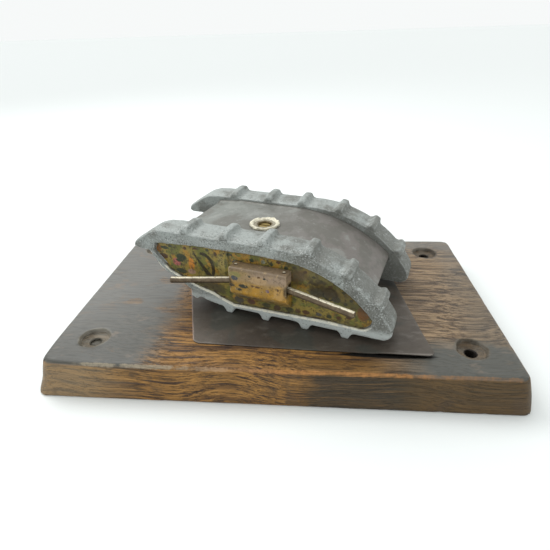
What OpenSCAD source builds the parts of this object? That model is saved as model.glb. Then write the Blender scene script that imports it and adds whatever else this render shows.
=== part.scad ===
// Desk ornament: a cast miniature of a rhomboid tracked tank on an oak board.
// Millimetres. The origin is under the middle of the board, +X runs along the
// board's long edge and +Z is up. The tank is drawn in its own frame: x from the
// nose (negative) to the tail, y from its left side (negative) to its right side,
// z up from the plate that it stands on.

/* [Board] */
// Length of the oak board's top face
board_l = 209; // [190:0.1:240]
// Depth of the oak board's top face
board_d = 128; // [120:0.1:150]
// Thickness of the oak board
board_t = 17.2; // [16:0.1:26]
// How far the board's foot stands out past its top face on each side
board_flare = 3.5; // [1:0.1:6]
// Radius of the board's corners in plan at its foot
board_corner_r = 6; // [4:0.5:10]
// Spacing of the corner screw holes along X
hole_spacing_x = 172; // [160:1:180]
// Spacing of the corner screw holes along Y
hole_spacing_y = 92; // [85:1:100]
// Diameter of the corner screw holes
hole_d = 5; // [3:0.1:6]
// Diameter of the counterbore over each corner hole
counterbore_d = 13.3; // [10:0.1:15]
// Depth of the counterbores
counterbore_depth = 3; // [1:0.5:6]

/* [Plate] */
// Thickness of the metal plate on the board
plate_t = 1; // [0.6:0.1:2]

/* [Tank] */
// Length of the track castings
tank_l = 131.1; // [131:0.1:132]
// Width over the tracks
tank_w = 67.5; // [64:0.5:72]
// Width of each track
track_w = 15; // [13:0.5:16]
// Height of the track crest above the cleat tips
crest_h = 40.6; // [40:0.1:41.5]
// Angle of the tank on the board
tank_yaw = -17.8; // [-25:0.1:25]
// Position of the tank's middle on the board, along X
tank_x = -1.8; // [-6:0.1:6]
// Position of the tank's middle on the board, along Y
tank_y = 2.9; // [0:0.1:6]
// Clearance between the cleat tips and the plate
foot_gap = 0.1; // [0.05:0.05:0.3]

/* [Tracks] */
// Height of the cleats under the tracks
foot_cleat_h = 3.2; // [3:0.1:3.2]
// Height of the cleats along the top of the tracks
top_cleat_h = 3; // [2:0.1:3.5]
// Width of a cleat at its root
cleat_root_w = 6.8; // [5:0.1:7.5]
// Width of a cleat at its tip
cleat_tip_w = 3.6; // [2:0.1:4]
// Width of the rim over the arc of each side
rim_w = 6.1; // [5.8:0.1:6.4]

/* [Hull] */
// Thickness of the sheet that the hull is folded from
sheet_t = 1.2; // [0.8:0.1:2]
// Drop of the roof below the track crest
roof_drop = 2.4; // [2:0.1:3]
// Outer diameter of the ferrule in the roof
ferrule_d = 15.2; // [12:0.1:16]
// Height of the ferrule above the roof
ferrule_h = 1.8; // [1.8:0.1:2.5]
// Diameter of the mounting screw's shank
screw_d = 4; // [3.5:0.1:4]

/* [Sponsons and guns] */
// Length of each sponson
sponson_l = 28.5; // [26:0.5:30]
// How far a sponson stands out from the side panel
sponson_out = 7.2; // [7:0.1:7.5]
// Diameter of the gun barrels
barrel_d = 3.2; // [2.4:0.1:3.2]
// Length of a front barrel from its pivot
front_barrel_l = 34; // [25:0.5:34]
// Length of a rear barrel from its pivot
rear_barrel_l = 34; // [28:0.5:35]
// Splay of the barrels away from the hull at rest
barrel_splay = 10; // [8:0.5:10]
// Droop of the front barrels below level
front_droop = 6; // [0:0.5:6]
// Droop of the rear barrels below level
rear_droop = 4; // [0:0.5:6]
// Radial running clearance round the pivots and the mounting screw
running_gap = 0.05; // [0.02:0.01:0.1]

/* [Hidden] */
$fn = 64;
cut = 1;                       // overshoot of a cutter past a face

// Tank, in its own frame
tank_z = board_t + plate_t + foot_gap;
half_w = tank_w / 2;
track_in = half_w - track_w;   // |y| of the tracks' inner faces
nose_x = -tank_l / 2;
recess_depth = 2.5;            // from the rim's face down to the casting's web
panel_t = 0.5;
panel_y = half_w - recess_depth + panel_t;   // |y| of the panel's painted face

// Side profile of a track: flat crest, one large arc down to the tail, a small
// arc round the tail, a flat foot, a climb in straight stretches, and a blunt beak
crest_r = 62;
crest_x = 12;
crest_z = crest_h - crest_r;
foot_z = foot_cleat_h;
tail_r = 5;
tail_angle = asin((foot_z + tail_r - crest_z) / (crest_r - tail_r));
tail_x = crest_x + (crest_r - tail_r) * cos(tail_angle);
nose_r = 2.3;
nose_z = 30.6;
brow = [[-59, 36.1], [-54.7, 38.8], [-50.2, 40.2], [-44, crest_h]];
climb = [[-18, foot_z], [-26, 4.7], [-31, 6.9], [-38.6, 12], [-46.3, 16.4], [-50.6, 19.3],
         [-52.6, 22], [-55.6, 27.1], [-57.2, nose_z - nose_r]];

// Recess in each side
recess_r = crest_r - rim_w;
recess_foot_z = 6.6;
recess_tail_r = 5;
recess_tail_x = 51.4;
recess_end = 15;               // angle at which the recess leaves the large arc
recess_sill = [[36, 7.2], [-10.8, 5.6], [-18.2, 8.3], [-21.5, 10], [-29.2, 11.8], [-35.4, 13.6],
               [-42.5, 17.1], [-45.9, 18.5], [-49.4, 22.5], [-52.3, 25.9]];
recess_nose_edge = -54;
recess_brow = [[-52.1, 32.7], [-28.4, 34.4], [4, 34.8]];

// Stations of the cleats along the tracks
top_stations = [-34.6, -13.6, 5.9];
arc_stations = [13.5, 31, 48.5];        // degrees round the large arc
foot_stations = [-13.6, 5.9, 25.9, 45.1];
climb_share = 0.12;                     // place of the climb's cleat along its long stretch

// Hull
roof_z = crest_h - roof_drop;
roof_r = 78;
roof_bend_x = 3;
roof_front_x = -44;
hull_tail_x = 54.4;
roof_steps = 16;
// The roof overhangs the tail plate by one of its steps
hull_back_x = hull_tail_x - (hull_tail_x - roof_bend_x) / roof_steps;
belly_z = 5.2;
nose_foot_x = -34;
nose_foot_z = 13.6;
belly_bend_x = -12;
tie_r = 2;
tie_depth = 6;
tie_places = [[-27, 25], [38, 15]];     // x and z of the front and rear tie rods

// Ferrule and screw, in the tank's frame
screw_x = -4.4;
screw_y = -7;
ferrule_bore_r = screw_d / 2 + running_gap;
screw_head_r = 3;
screw_head_h = 1.6;
head_pocket_r = 3.2;
head_pocket_z = -2.1;                   // below the roof's top face
spigot_r = 4;
spigot_l = 3.6;
screw_in_oak = 15;

// Sponsons
sponson_x = 5;
sponson_top = 30;
sponson_break = 16.6;                   // where the face turns in to the panel
sponson_foot = 9;
barrel_z = 21.7;
pivot_in = 2.4;                         // pivot behind the sponson's end face
pivot_y = half_w + 1.6;
pin_r = 0.6;
pin_top = 0.3;
eye_r = 1.9;
eye_h = 3.2;
port_h = 4.4;
port_depth = 4.9;
port_out = half_w + 4.4;
port_in = half_w - 0.6;

// ---------------------------------------------------------------- helpers

// Points of an arc about (cx, cz) from angle a0 to a1
function arc(cx, cz, r, a0, a1, n) =
    [for (i = [0 : n]) let (a = a0 + (a1 - a0) * i / n)
        [cx + r * cos(a), cz + r * sin(a)]];

// Top face of the hull's roof at a given x, lowered by t
function roof_height(x, t) =
    x < roof_bend_x ? roof_z - t
                    : roof_z - roof_r + sqrt(pow(roof_r - t, 2) - pow(x - roof_bend_x, 2));

// Puts tank pieces on the board
module on_board() {
    translate([tank_x, tank_y, tank_z]) rotate([0, 0, tank_yaw]) children();
}

// Extrudes a side profile (x, z) across the tank from y0 to y1
module across(y0, y1) {
    translate([0, y1, 0]) rotate([90, 0, 0]) linear_extrude(height = y1 - y0) children();
}

// The left side of the tank is -y; side is -1 for left and 1 for right
module on_side(side) {
    if (side < 0) mirror([0, 1, 0]) children();
    else children();
}

module track_profile() {
    polygon(concat(
        brow,
        arc(crest_x, crest_z, crest_r, 90, tail_angle, 24),
        arc(tail_x, foot_z + tail_r, tail_r, tail_angle, -90, 8),
        climb,
        arc(nose_x + nose_r, nose_z, nose_r, 270, 125, 8)));
}

module recess_profile(inset = 0) {
    r = recess_r - inset;
    tail = recess_tail_r - inset;
    polygon(concat(
        [for (p = recess_brow) [p[0] + inset, p[1] - inset]],
        arc(crest_x, crest_z, r, 90, 90 - 50, 20),
        arc(recess_tail_x, recess_foot_z + recess_tail_r, tail, recess_end, -90, 6),
        [for (p = recess_sill) [p[0] + (p[0] < 0 ? inset : 0), p[1] + inset]],
        [[recess_nose_edge + inset, 28]]));
}

module cleat_profile(h) {
    root = cleat_root_w / 2;
    tip = cleat_tip_w / 2;
    polygon([[-root, -1], [-root, 0], [-tip - 0.5, h * 0.45], [-tip, h - 0.5], [-tip + 0.5, h],
             [tip - 0.5, h], [tip, h - 0.5], [tip + 0.5, h * 0.45], [root, 0], [root, -1]]);
}

module cleats() {
    for (x = top_stations) translate([x, crest_h]) cleat_profile(top_cleat_h);
    for (a = arc_stations)
        translate([crest_x + crest_r * sin(a), crest_z + crest_r * cos(a)])
            rotate(-a) cleat_profile(top_cleat_h);
    for (x = foot_stations) translate([x, foot_z]) rotate(180) cleat_profile(foot_cleat_h);
    run = climb[3] - climb[2];
    // Sunk a little, so that its root crosses the slope instead of lying along it
    translate(climb[2] + climb_share * run) rotate(180 - atan(-run[1] / run[0]))
        translate([0, -0.1]) cleat_profile(foot_cleat_h);
}

// ---------------------------------------------------------------- base

// Section of the board: a low trapezium, width w across its top face
module board_section(w) {
    polygon([[-w / 2 - board_flare, 0], [w / 2 + board_flare, 0], [w / 2, board_t],
             [-w / 2, board_t]]);
}

module board_outline() {
    foot_l = board_l + 2 * board_flare;
    foot_d = board_d + 2 * board_flare;
    flat_l = foot_l - 2 * board_corner_r;
    flat_d = foot_d - 2 * board_corner_r;
    translate([-foot_l / 2, -flat_d / 2, 0]) cube([foot_l, flat_d, board_t]);
    translate([-flat_l / 2, -foot_d / 2, 0]) cube([flat_l, foot_d, board_t]);
    for (sx = [-1, 1], sy = [-1, 1])
        translate([sx * flat_l / 2, sy * flat_d / 2, 0]) cylinder(r = board_corner_r, h = board_t);
}

module oak_base() {
    color([0.42, 0.28, 0.17]) difference() {
        intersection() {
            board_outline();
            translate([0, board_d, 0]) rotate([90, 0, 0])
                linear_extrude(height = 2 * board_d) board_section(board_l);
            translate([-board_l, 0, 0]) rotate([90, 0, 90])
                linear_extrude(height = 2 * board_l) board_section(board_d);
        }
        for (sx = [-1, 1], sy = [-1, 1])
            translate([sx * hole_spacing_x / 2, sy * hole_spacing_y / 2, 0]) {
                translate([0, 0, -cut]) cylinder(d = hole_d, h = board_t + 2 * cut);
                translate([0, 0, board_t - counterbore_depth])
                    cylinder(d = counterbore_d, h = counterbore_depth + cut);
            }
        on_board() translate([screw_x, screw_y, board_t - tank_z - screw_in_oak])
            cylinder(d = screw_d, h = screw_in_oak + cut);
    }
}

module base_plate() {
    corners = [[-35.2, -48], [66, -53.2], [68.5, -50.7], [58.4, 31.1], [56, 33.4],
               [-57.6, 33.4], [-59.6, 30.7], [-38.2, -45.5]];
    color([0.36, 0.31, 0.28]) difference() {
        translate([0, 0, board_t]) linear_extrude(height = plate_t) polygon(corners);
        on_board() translate([screw_x, screw_y, -plate_t - foot_gap - cut])
            cylinder(r = screw_d / 2 + 0.5, h = plate_t + 2 * cut);
    }
}

// ---------------------------------------------------------------- hull

module track_casting(side) {
    color([0.60, 0.62, 0.62]) on_board() on_side(side) difference() {
        union() {
            across(track_in, half_w) track_profile();
            across(track_in, half_w) cleats();
        }
        across(half_w - recess_depth, half_w + cut) recess_profile();
        for (p = tie_places)
            translate([p[0], track_in + tie_depth, p[1]]) rotate([90, 0, 0])
                cylinder(r = tie_r, h = tie_depth + cut);
    }
}

module left_track_casting() { track_casting(-1); }
module right_track_casting() { track_casting(1); }

module hull_roof() {
    span = hull_tail_x - roof_bend_x;
    top = [for (i = [0 : roof_steps]) let (x = roof_bend_x + span * i / roof_steps)
        [x, roof_height(x, 0)]];
    under = [for (i = [roof_steps : -1 : 0]) let (x = roof_bend_x + span * i / roof_steps)
        [x, roof_height(x, sheet_t)]];
    color([0.52, 0.50, 0.48]) on_board() difference() {
        across(-track_in, track_in)
            polygon(concat([[roof_front_x, roof_z - 1.2], [roof_front_x + 14, roof_z]], top,
                           under, [[roof_front_x + 14, roof_z - sheet_t],
                                   [roof_front_x, roof_z - 1.2 - sheet_t]]));
        translate([screw_x, screw_y, roof_z - spigot_l]) cylinder(r = spigot_r, h = 2 * spigot_l);
    }
}

module nose_plate() {
    top_z = roof_z - 1.2 - sheet_t;
    color([0.52, 0.50, 0.48]) on_board() across(-track_in, track_in)
        polygon([[roof_front_x, top_z], [roof_front_x + sheet_t, top_z],
                 [nose_foot_x + sheet_t, nose_foot_z], [nose_foot_x, nose_foot_z]]);
}

module tail_plate() {
    color([0.52, 0.50, 0.48]) on_board() across(-track_in, track_in)
        translate([hull_back_x - sheet_t, belly_z])
            square([sheet_t, roof_height(hull_back_x, sheet_t) - belly_z]);
}

module belly_plate() {
    color([0.45, 0.45, 0.45]) on_board() difference() {
        across(-track_in, track_in)
            polygon([[nose_foot_x, nose_foot_z], [nose_foot_x + sheet_t, nose_foot_z],
                     [belly_bend_x, belly_z + sheet_t],
                     [hull_back_x - sheet_t, belly_z + sheet_t], [hull_back_x - sheet_t, belly_z],
                     [belly_bend_x, belly_z], [nose_foot_x, nose_foot_z - sheet_t]]);
        translate([screw_x, screw_y, 0]) cylinder(r = screw_d / 2 + 0.5, h = 4 * belly_z);
    }
}

module tie_rod(place) {
    reach = track_in + tie_depth;
    color([0.55, 0.55, 0.53]) on_board()
        translate([place[0], reach, place[1]]) rotate([90, 0, 0])
            cylinder(r = tie_r, h = 2 * reach);
}

module front_tie_rod() { tie_rod(tie_places[0]); }
module rear_tie_rod() { tie_rod(tie_places[1]); }

module side_panel(side) {
    rib_x = -15.7;
    color([0.56, 0.50, 0.22]) on_board() on_side(side) {
        across(panel_y - panel_t, panel_y) recess_profile(0.15);
        translate([rib_x, panel_y - panel_t, 13]) cube([3, 2 * panel_t, 21]);
    }
}

module left_side_panel() { side_panel(-1); }
module right_side_panel() { side_panel(1); }

// ---------------------------------------------------------------- sponsons and guns

// end is -1 for the front gun and 1 for the rear gun
function pivot_x(end) = sponson_x + end * (sponson_l / 2 - pivot_in);

module sponson(side) {
    face_y = panel_y + sponson_out;
    color([0.68, 0.50, 0.16]) on_board() on_side(side) difference() {
        translate([sponson_x - sponson_l / 2, 0, 0]) rotate([90, 0, 90])
            linear_extrude(height = sponson_l)
                polygon([[panel_y, sponson_foot], [face_y, sponson_break],
                         [face_y, sponson_top - 0.6], [face_y - 0.6, sponson_top],
                         [panel_y, sponson_top]]);
        for (end = [-1, 1]) {
            translate([sponson_x + end * (sponson_l + cut - port_depth) / 2,
                       (port_in + port_out) / 2, barrel_z])
                cube([port_depth + cut, port_out - port_in, port_h], center = true);
            translate([pivot_x(end), pivot_y, sponson_break + 0.4])
                cylinder(r = pin_r, h = sponson_top);
        }
    }
}

module left_sponson() { sponson(-1); }
module right_sponson() { sponson(1); }

module barrel(side, end, length, droop) {
    bore_l = 9;
    color([0.52, 0.42, 0.28]) on_board() on_side(side)
        translate([pivot_x(end), pivot_y, barrel_z])
            rotate([0, 0, end > 0 ? barrel_splay : 180 - barrel_splay]) difference() {
                union() {
                    cylinder(r = eye_r, h = eye_h, center = true);
                    rotate([0, 90 + droop, 0]) cylinder(d = barrel_d, h = length);
                }
                cylinder(r = pin_r + running_gap, h = eye_h + cut, center = true);
                rotate([0, 90 + droop, 0]) translate([0, 0, length - bore_l])
                    cylinder(d = barrel_d * 0.45, h = bore_l + cut);
            }
}

module left_front_barrel() { barrel(-1, -1, front_barrel_l, front_droop); }
module left_rear_barrel() { barrel(-1, 1, rear_barrel_l, rear_droop); }
module right_front_barrel() { barrel(1, -1, front_barrel_l, front_droop); }
module right_rear_barrel() { barrel(1, 1, rear_barrel_l, rear_droop); }

module gun_pin(side, end) {
    foot = sponson_break + 0.4;
    color([0.60, 0.48, 0.28]) on_board() on_side(side)
        translate([pivot_x(end), pivot_y, foot])
            cylinder(r = pin_r, h = sponson_top + pin_top - foot);
}

module left_front_pin() { gun_pin(-1, -1); }
module left_rear_pin() { gun_pin(-1, 1); }
module right_front_pin() { gun_pin(1, -1); }
module right_rear_pin() { gun_pin(1, 1); }

// ---------------------------------------------------------------- fixing

module roof_ferrule() {
    ring_r = ferrule_d / 2;
    color([0.78, 0.75, 0.65]) on_board() translate([screw_x, screw_y, roof_z])
        rotate_extrude()
            polygon([[ferrule_bore_r, -spigot_l], [spigot_r, -spigot_l], [spigot_r, 0],
                     [ring_r, 0], [ring_r, ferrule_h - 0.6], [ring_r - 0.6, ferrule_h],
                     [ring_r - 1.6, ferrule_h], [ring_r - 2.2, ferrule_h - 0.9],
                     [head_pocket_r, 0.1], [head_pocket_r, head_pocket_z],
                     [ferrule_bore_r, head_pocket_z]]);
}

module mounting_screw() {
    head_z = roof_z + head_pocket_z + 0.1;
    tip_z = board_t - tank_z - screw_in_oak;
    slot_w = 0.9;
    slot_h = 0.8;
    point_l = 3;
    color([0.62, 0.48, 0.22]) on_board() translate([screw_x, screw_y, 0]) difference() {
        rotate_extrude()
            polygon([[0, tip_z], [screw_d / 2, tip_z + point_l], [screw_d / 2, head_z],
                     [screw_head_r, head_z], [screw_head_r, head_z + screw_head_h - 0.4],
                     [screw_head_r - 0.4, head_z + screw_head_h],
                     [0, head_z + screw_head_h]]);
        translate([0, 0, head_z + screw_head_h - slot_h / 2 + cut / 2])
            cube([2 * screw_head_r + cut, slot_w, slot_h + cut], center = true);
    }
}

oak_base();
base_plate();
left_track_casting();
right_track_casting();
hull_roof();
nose_plate();
tail_plate();
belly_plate();
front_tie_rod();
rear_tie_rod();
left_side_panel();
right_side_panel();
left_sponson();
right_sponson();
left_front_barrel();
left_rear_barrel();
right_front_barrel();
right_rear_barrel();
left_front_pin();
left_rear_pin();
right_front_pin();
right_rear_pin();
roof_ferrule();
mounting_screw();
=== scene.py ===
import itertools
import math
from functools import reduce

import bpy
import bmesh
import numpy as np
from mathutils import Matrix, Vector, noise


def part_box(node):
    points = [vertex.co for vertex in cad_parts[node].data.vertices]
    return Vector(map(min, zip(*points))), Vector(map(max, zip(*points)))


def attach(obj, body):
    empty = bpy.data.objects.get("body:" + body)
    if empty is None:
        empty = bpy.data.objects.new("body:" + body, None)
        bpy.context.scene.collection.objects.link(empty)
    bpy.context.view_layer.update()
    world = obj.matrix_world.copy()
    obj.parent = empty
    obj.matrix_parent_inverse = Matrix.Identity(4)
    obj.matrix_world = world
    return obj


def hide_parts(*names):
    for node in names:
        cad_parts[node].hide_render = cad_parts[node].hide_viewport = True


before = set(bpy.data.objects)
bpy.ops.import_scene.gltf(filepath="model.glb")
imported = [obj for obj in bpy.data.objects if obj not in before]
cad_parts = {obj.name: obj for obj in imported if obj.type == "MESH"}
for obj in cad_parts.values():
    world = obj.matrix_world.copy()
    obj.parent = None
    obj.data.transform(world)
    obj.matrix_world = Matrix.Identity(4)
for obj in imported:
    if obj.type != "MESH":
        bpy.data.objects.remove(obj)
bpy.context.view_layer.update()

# A cast tank on an oak board. Shapes are worked out in millimetres, in the tank's
# own frame (x from nose to tail, y from left to right, z up from the plate) or in
# the board's, and put into the shared frame in metres at the end.

MM = 0.001

# ---------------------------- places and sizes

board_low, board_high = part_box("oak_base")
BOARD_L = (board_high.x - board_low.x) / MM
BOARD_D = (board_high.y - board_low.y) / MM
BOARD_T = (board_high.z - board_low.z) / MM
PLATE_T = (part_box("base_plate")[1].z - board_high.z) / MM
FLARE = 3.5               # how far the board's foot stands out past its top face
HOLE_X, HOLE_Y = 86.0, 46.0
HOLE_SIDES = 48
PLATE_LIFT = 1.25         # how far the plate's front right corner stands off the board
SWEEP_R = 69.0            # the tank's cleats sweep a circle of about this radius

TANK_X, TANK_Y = -1.8, 2.9
TANK_YAW = math.radians(-17.8)
FOOT_GAP = 0.1
TANK_AT = Vector((TANK_X, TANK_Y, BOARD_T + PLATE_T + FOOT_GAP)) * MM
TANK = Matrix.Translation(TANK_AT) @ Matrix.Rotation(TANK_YAW, 4, "Z") @ Matrix.Scale(MM, 4)
BOARD = Matrix.Scale(MM, 4)

HALF_W = 33.75            # half the width over the tracks
TRACK_W = 15.0
TRACK_IN = HALF_W - TRACK_W
TRACK_MID = HALF_W - TRACK_W / 2
CREST_H = 40.6
CREST_R = 62.0
CREST_X = 12.0
ROOF_Z = 38.2
ROOF_R = 78.0
ROOF_BEND_X = 3.0
ROOF_FRONT_X = -44.0
HULL_TAIL_X = 54.4
ROOF_HOLE_R = 4.6
SCREW_X, SCREW_Y = -4.4, -7.0
FERRULE_R = 7.6
FERRULE_H = 1.8
PANEL_Y = 31.75
SPONSON_X = 5.0
SPONSON_L = 28.5
BARREL_Z = 21.7
BARREL_R = 1.6
PIVOT_IN = 2.4
PIVOT_Y = HALF_W + 1.6
EYE_R, EYE_H, EYE_BORE = 1.9, 3.2, 0.65
SPLAY = math.radians(10)
DROOP = {"front": math.radians(6), "rear": math.radians(4)}
BARREL_L = 34.0
GUN_SIDES = 32
SHARP = math.radians(50)  # edges sharper than this stay sharp on the board and the plate
THROUGH = 90.0            # half length of a paint spot that goes through the whole piece

# ---------------------------- mesh helpers


def link_object(name, data):
    obj = bpy.data.objects.new(name, data)
    bpy.context.scene.collection.objects.link(obj)
    return obj


def mesh_from(bm):
    mesh = bpy.data.meshes.new("work")
    bm.to_mesh(mesh)
    bm.free()
    return mesh


def add_object(name, verts, faces, place, material):
    """A new object whose points are given in the tank's or the board's millimetres."""
    mesh = bpy.data.meshes.new(name)
    mesh.from_pydata(verts, [], faces)
    return finish_object(name, mesh, place, material)


def finish_object(name, mesh, place, material):
    """A smooth object with one material, from a mesh in place's millimetres."""
    mesh.transform(place)
    bm = bmesh.new()
    bm.from_mesh(mesh)
    bmesh.ops.recalc_face_normals(bm, faces=bm.faces)
    bm.to_mesh(mesh)
    bm.free()
    mesh.materials.clear()
    mesh.materials.append(material)
    mesh.polygons.foreach_set("use_smooth", [True] * len(mesh.polygons))
    mesh.update()
    return link_object(name, mesh)


def per_point(mesh, what):
    """The points or the normals of a mesh, one row each."""
    values = np.zeros(len(mesh.vertices) * 3)
    mesh.vertices.foreach_get(what, values)
    return values.reshape(-1, 3)


def set_points(mesh, co):
    mesh.vertices.foreach_set("co", np.asarray(co, np.float32).ravel())
    mesh.update()


def modify(obj, kind, **settings):
    made = obj.modifiers.new(kind.lower(), kind)
    for key, value in settings.items():
        setattr(made, key, value)


def applied(obj):
    """The object's mesh with its modifiers applied; the object itself is removed."""
    graph = bpy.context.evaluated_depsgraph_get()
    mesh = bpy.data.meshes.new_from_object(obj.evaluated_get(graph))
    bpy.data.objects.remove(obj)
    return mesh


def remeshed(node, place, voxel, smoothing):
    """A node's shape in its own millimetres, rebuilt as an even, softened skin."""
    bm = bmesh.new()
    bm.from_mesh(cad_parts[node].data)
    bm.transform(place.inverted())
    bmesh.ops.remove_doubles(bm, verts=bm.verts, dist=0.001)
    obj = link_object("work", mesh_from(bm))
    modify(obj, "REMESH", mode="VOXEL", voxel_size=voxel)
    modify(obj, "SMOOTH", factor=0.5, iterations=smoothing)
    return applied(obj)


def joined_rings(bm, rings):
    """Faces between rings of points; a ring of one point is the tip of a fan."""
    for one, two in zip(rings, rings[1:]):
        for i in range(max(len(one), len(two))):
            k = (i + 1) % max(len(one), len(two))
            if len(one) == 1:
                bm.faces.new((one[0], two[i], two[k]))
            elif len(two) == 1:
                bm.faces.new((one[i], two[0], one[k]))
            else:
                bm.faces.new((one[i], two[i], two[k], one[k]))


def sheet_faces(rows, cols, open_cells):
    """Both skins and the rims of a sheet. Its lower points follow all its upper ones."""
    faces = []
    count = rows * cols
    for i, j in sorted(open_cells):
        a, b, c, d = i * cols + j, (i + 1) * cols + j, (i + 1) * cols + j + 1, i * cols + j + 1
        faces.append((a, b, c, d))
        faces.append((a + count, d + count, c + count, b + count))
        for near, p, q in (((i - 1, j), a, d), ((i + 1, j), c, b),
                           ((i, j - 1), b, a), ((i, j + 1), d, c)):
            if near not in open_cells:
                faces.append((p, q, q + count, p + count))
    return faces


def smoothstep(t):
    t = np.clip(t, 0.0, 1.0)
    return t * t * (3 - 2 * t)


def lumps(co, scale, seed):
    """Smooth noise from -1 to 1 at each point, with features about scale wide."""
    shift = Vector((seed * 17.3, seed * 5.1, seed * 9.7))
    return np.array([noise.noise(Vector(p) / scale + shift) for p in co])


def lathe(profile, sides, ragged=0.0, seed=1):
    """Turns (radius, height) points about Z. ragged pushes the points about a little."""
    verts, faces = [], []
    n = len(profile)
    for i in range(sides):
        a = 2 * math.pi * i / sides
        for j, (r, z) in enumerate(profile):
            p = Vector((r * math.cos(a), r * math.sin(a), z))
            push = ragged * noise.noise(p * 0.55 + Vector((seed * 3.1, 0, seed)))
            fine = ragged * 0.5 * noise.noise(p * 1.7 + Vector((0, seed * 2.3, 0)))
            radial = r + push + fine if r > 0 else 0
            verts.append((radial * math.cos(a), radial * math.sin(a), z + 0.6 * (push + fine)))
    for i in range(sides):
        k = (i + 1) % sides
        for j in range(n):
            m = (j + 1) % n
            faces.append((i * n + j, k * n + j, k * n + m, i * n + m))
    return verts, faces


# ---------------------------- material helpers


class Shader:
    """Builds one procedural material, with short calls for the nodes it needs."""

    def __init__(self, name, frame_of="tank"):
        self.material = bpy.data.materials.new(name)
        self.material.use_nodes = True
        self.tree = self.material.node_tree
        self.surface = self.tree.nodes["Principled BSDF"]
        place = self.node("ShaderNodeTexCoord").outputs["Object"]
        inputs = {"Scale": (MM, MM, MM), "Vector": place}
        if frame_of == "tank":
            inputs.update({"Location": TANK_AT, "Rotation": (0, 0, TANK_YAW)})
        self.place = self.node("ShaderNodeMapping", inputs, vector_type="TEXTURE").outputs[0]

    def node(self, kind, inputs=None, **settings):
        made = self.tree.nodes.new(kind)
        for key, value in settings.items():
            setattr(made, key, value)
        for key, value in (inputs or {}).items():
            self.put(made.inputs[key], value)
        return made

    def put(self, socket, value):
        if isinstance(value, bpy.types.NodeSocket):
            self.tree.links.new(value, socket)
        else:
            socket.default_value = value

    # Places

    def stretched(self, scale, source=None):
        """The place, with each axis scaled, for grain and streaks."""
        inputs = {"Scale": scale, "Vector": source or self.place}
        return self.node("ShaderNodeMapping", inputs).outputs[0]

    def shaken(self, amount, scale):
        """The place, shaken by noise, for edges that wander."""
        swirl = self.vector("SUBTRACT", self.noise(scale, 3.0, 0.6, out="Color"), (0.5, 0.5, 0.5))
        scaled = self.node("ShaderNodeVectorMath", {0: swirl, "Scale": amount}, operation="SCALE")
        return self.vector("ADD", self.place, scaled.outputs[0])

    def vector(self, operation, a, b):
        return self.node("ShaderNodeVectorMath", {0: a, 1: b}, operation=operation).outputs[0]

    def joined(self, **axes):
        return self.node("ShaderNodeCombineXYZ", axes).outputs[0]

    def axes(self, source=None):
        return self.node("ShaderNodeSeparateXYZ", {0: source or self.place}).outputs

    def normal_axes(self):
        return self.axes(self.node("ShaderNodeNewGeometry").outputs["Normal"])

    # Patterns and sums

    def noise(self, scale, detail=4.0, rough=0.55, where=None, out="Fac"):
        inputs = {"Scale": scale, "Detail": detail, "Roughness": rough,
                  "Vector": where or self.place}
        return self.node("ShaderNodeTexNoise", inputs).outputs[out]

    def cells(self, scale, where):
        inputs = {"Scale": scale, "Vector": where}
        return self.node("ShaderNodeTexVoronoi", inputs, feature="F1").outputs["Distance"]

    def math(self, operation, a, b=0.0, clamp=False):
        made = self.node("ShaderNodeMath", {0: a, 1: b}, operation=operation, use_clamp=clamp)
        return made.outputs[0]

    def times(self, *factors):
        return reduce(lambda a, b: self.math("MULTIPLY", a, b), factors)

    def highest(self, *values):
        return reduce(lambda a, b: self.math("MAXIMUM", a, b), values)

    def plus(self, a, b):
        return self.math("ADD", a, b)

    def minus(self, a, b, clamp=False):
        return self.math("SUBTRACT", a, b, clamp)

    def size(self, a):
        return self.math("ABSOLUTE", a)

    def length(self, a, b):
        """The length of a vector whose sides are a and b."""
        return self.math("SQRT", self.plus(self.times(a, a), self.times(b, b)))

    def between(self, value, low, high, to_low=0.0, to_high=1.0):
        """value mapped smoothly from low..high to to_low..to_high."""
        inputs = {"Value": value, "From Min": low, "From Max": high,
                  "To Min": to_low, "To Max": to_high}
        made = self.node("ShaderNodeMapRange", inputs, interpolation_type="SMOOTHSTEP")
        return made.outputs["Result"]

    def spot(self, source, centre, radii, edge=0.25):
        """1 inside an ellipsoid about centre and 0 outside it."""
        inputs = {"Location": centre, "Scale": radii, "Vector": source}
        made = self.node("ShaderNodeMapping", inputs, vector_type="TEXTURE").outputs[0]
        away = self.node("ShaderNodeVectorMath", {0: made}, operation="LENGTH").outputs["Value"]
        return self.between(away, 1 - edge, 1 + edge, 1.0, 0.0)

    def rubbed(self, low, high, most=1.0):
        """Where an edge stands out (low < high) or a corner is hollow (low > high)."""
        edges = self.node("ShaderNodeNewGeometry").outputs["Pointiness"]
        return self.between(edges, low, high, 0.0, most)

    # Colours, laid coat on coat over self.body

    def mix(self, share, a, b):
        """Colour a where share is 0 and b where it is 1."""
        a, b = ((*c, 1) if isinstance(c, tuple) else c for c in (a, b))
        return self.node("ShaderNodeMix", {0: share, 6: a, 7: b}, data_type="RGBA").outputs[2]

    def blend(self, field, low, high, a, b):
        """Colour a where field is low and b where it is high."""
        return self.mix(self.between(field, low, high), a, b)

    def lay(self, share, colour):
        self.body = self.mix(share, self.body, colour)

    def wash(self, field, low, high, most, colour):
        """A coat that thickens to most as field goes from low to high."""
        self.lay(self.between(field, low, high, 0.0, most), colour)

    def blots(self, source, edge, share, rows):
        """An ellipse for each row: x, z, half width, half height and colour."""
        for x, z, wide, high, colour in rows:
            spot = self.spot(source, (x, 0, z), (wide, THROUGH, high), edge)
            self.lay(self.times(spot, share), colour)

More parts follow.
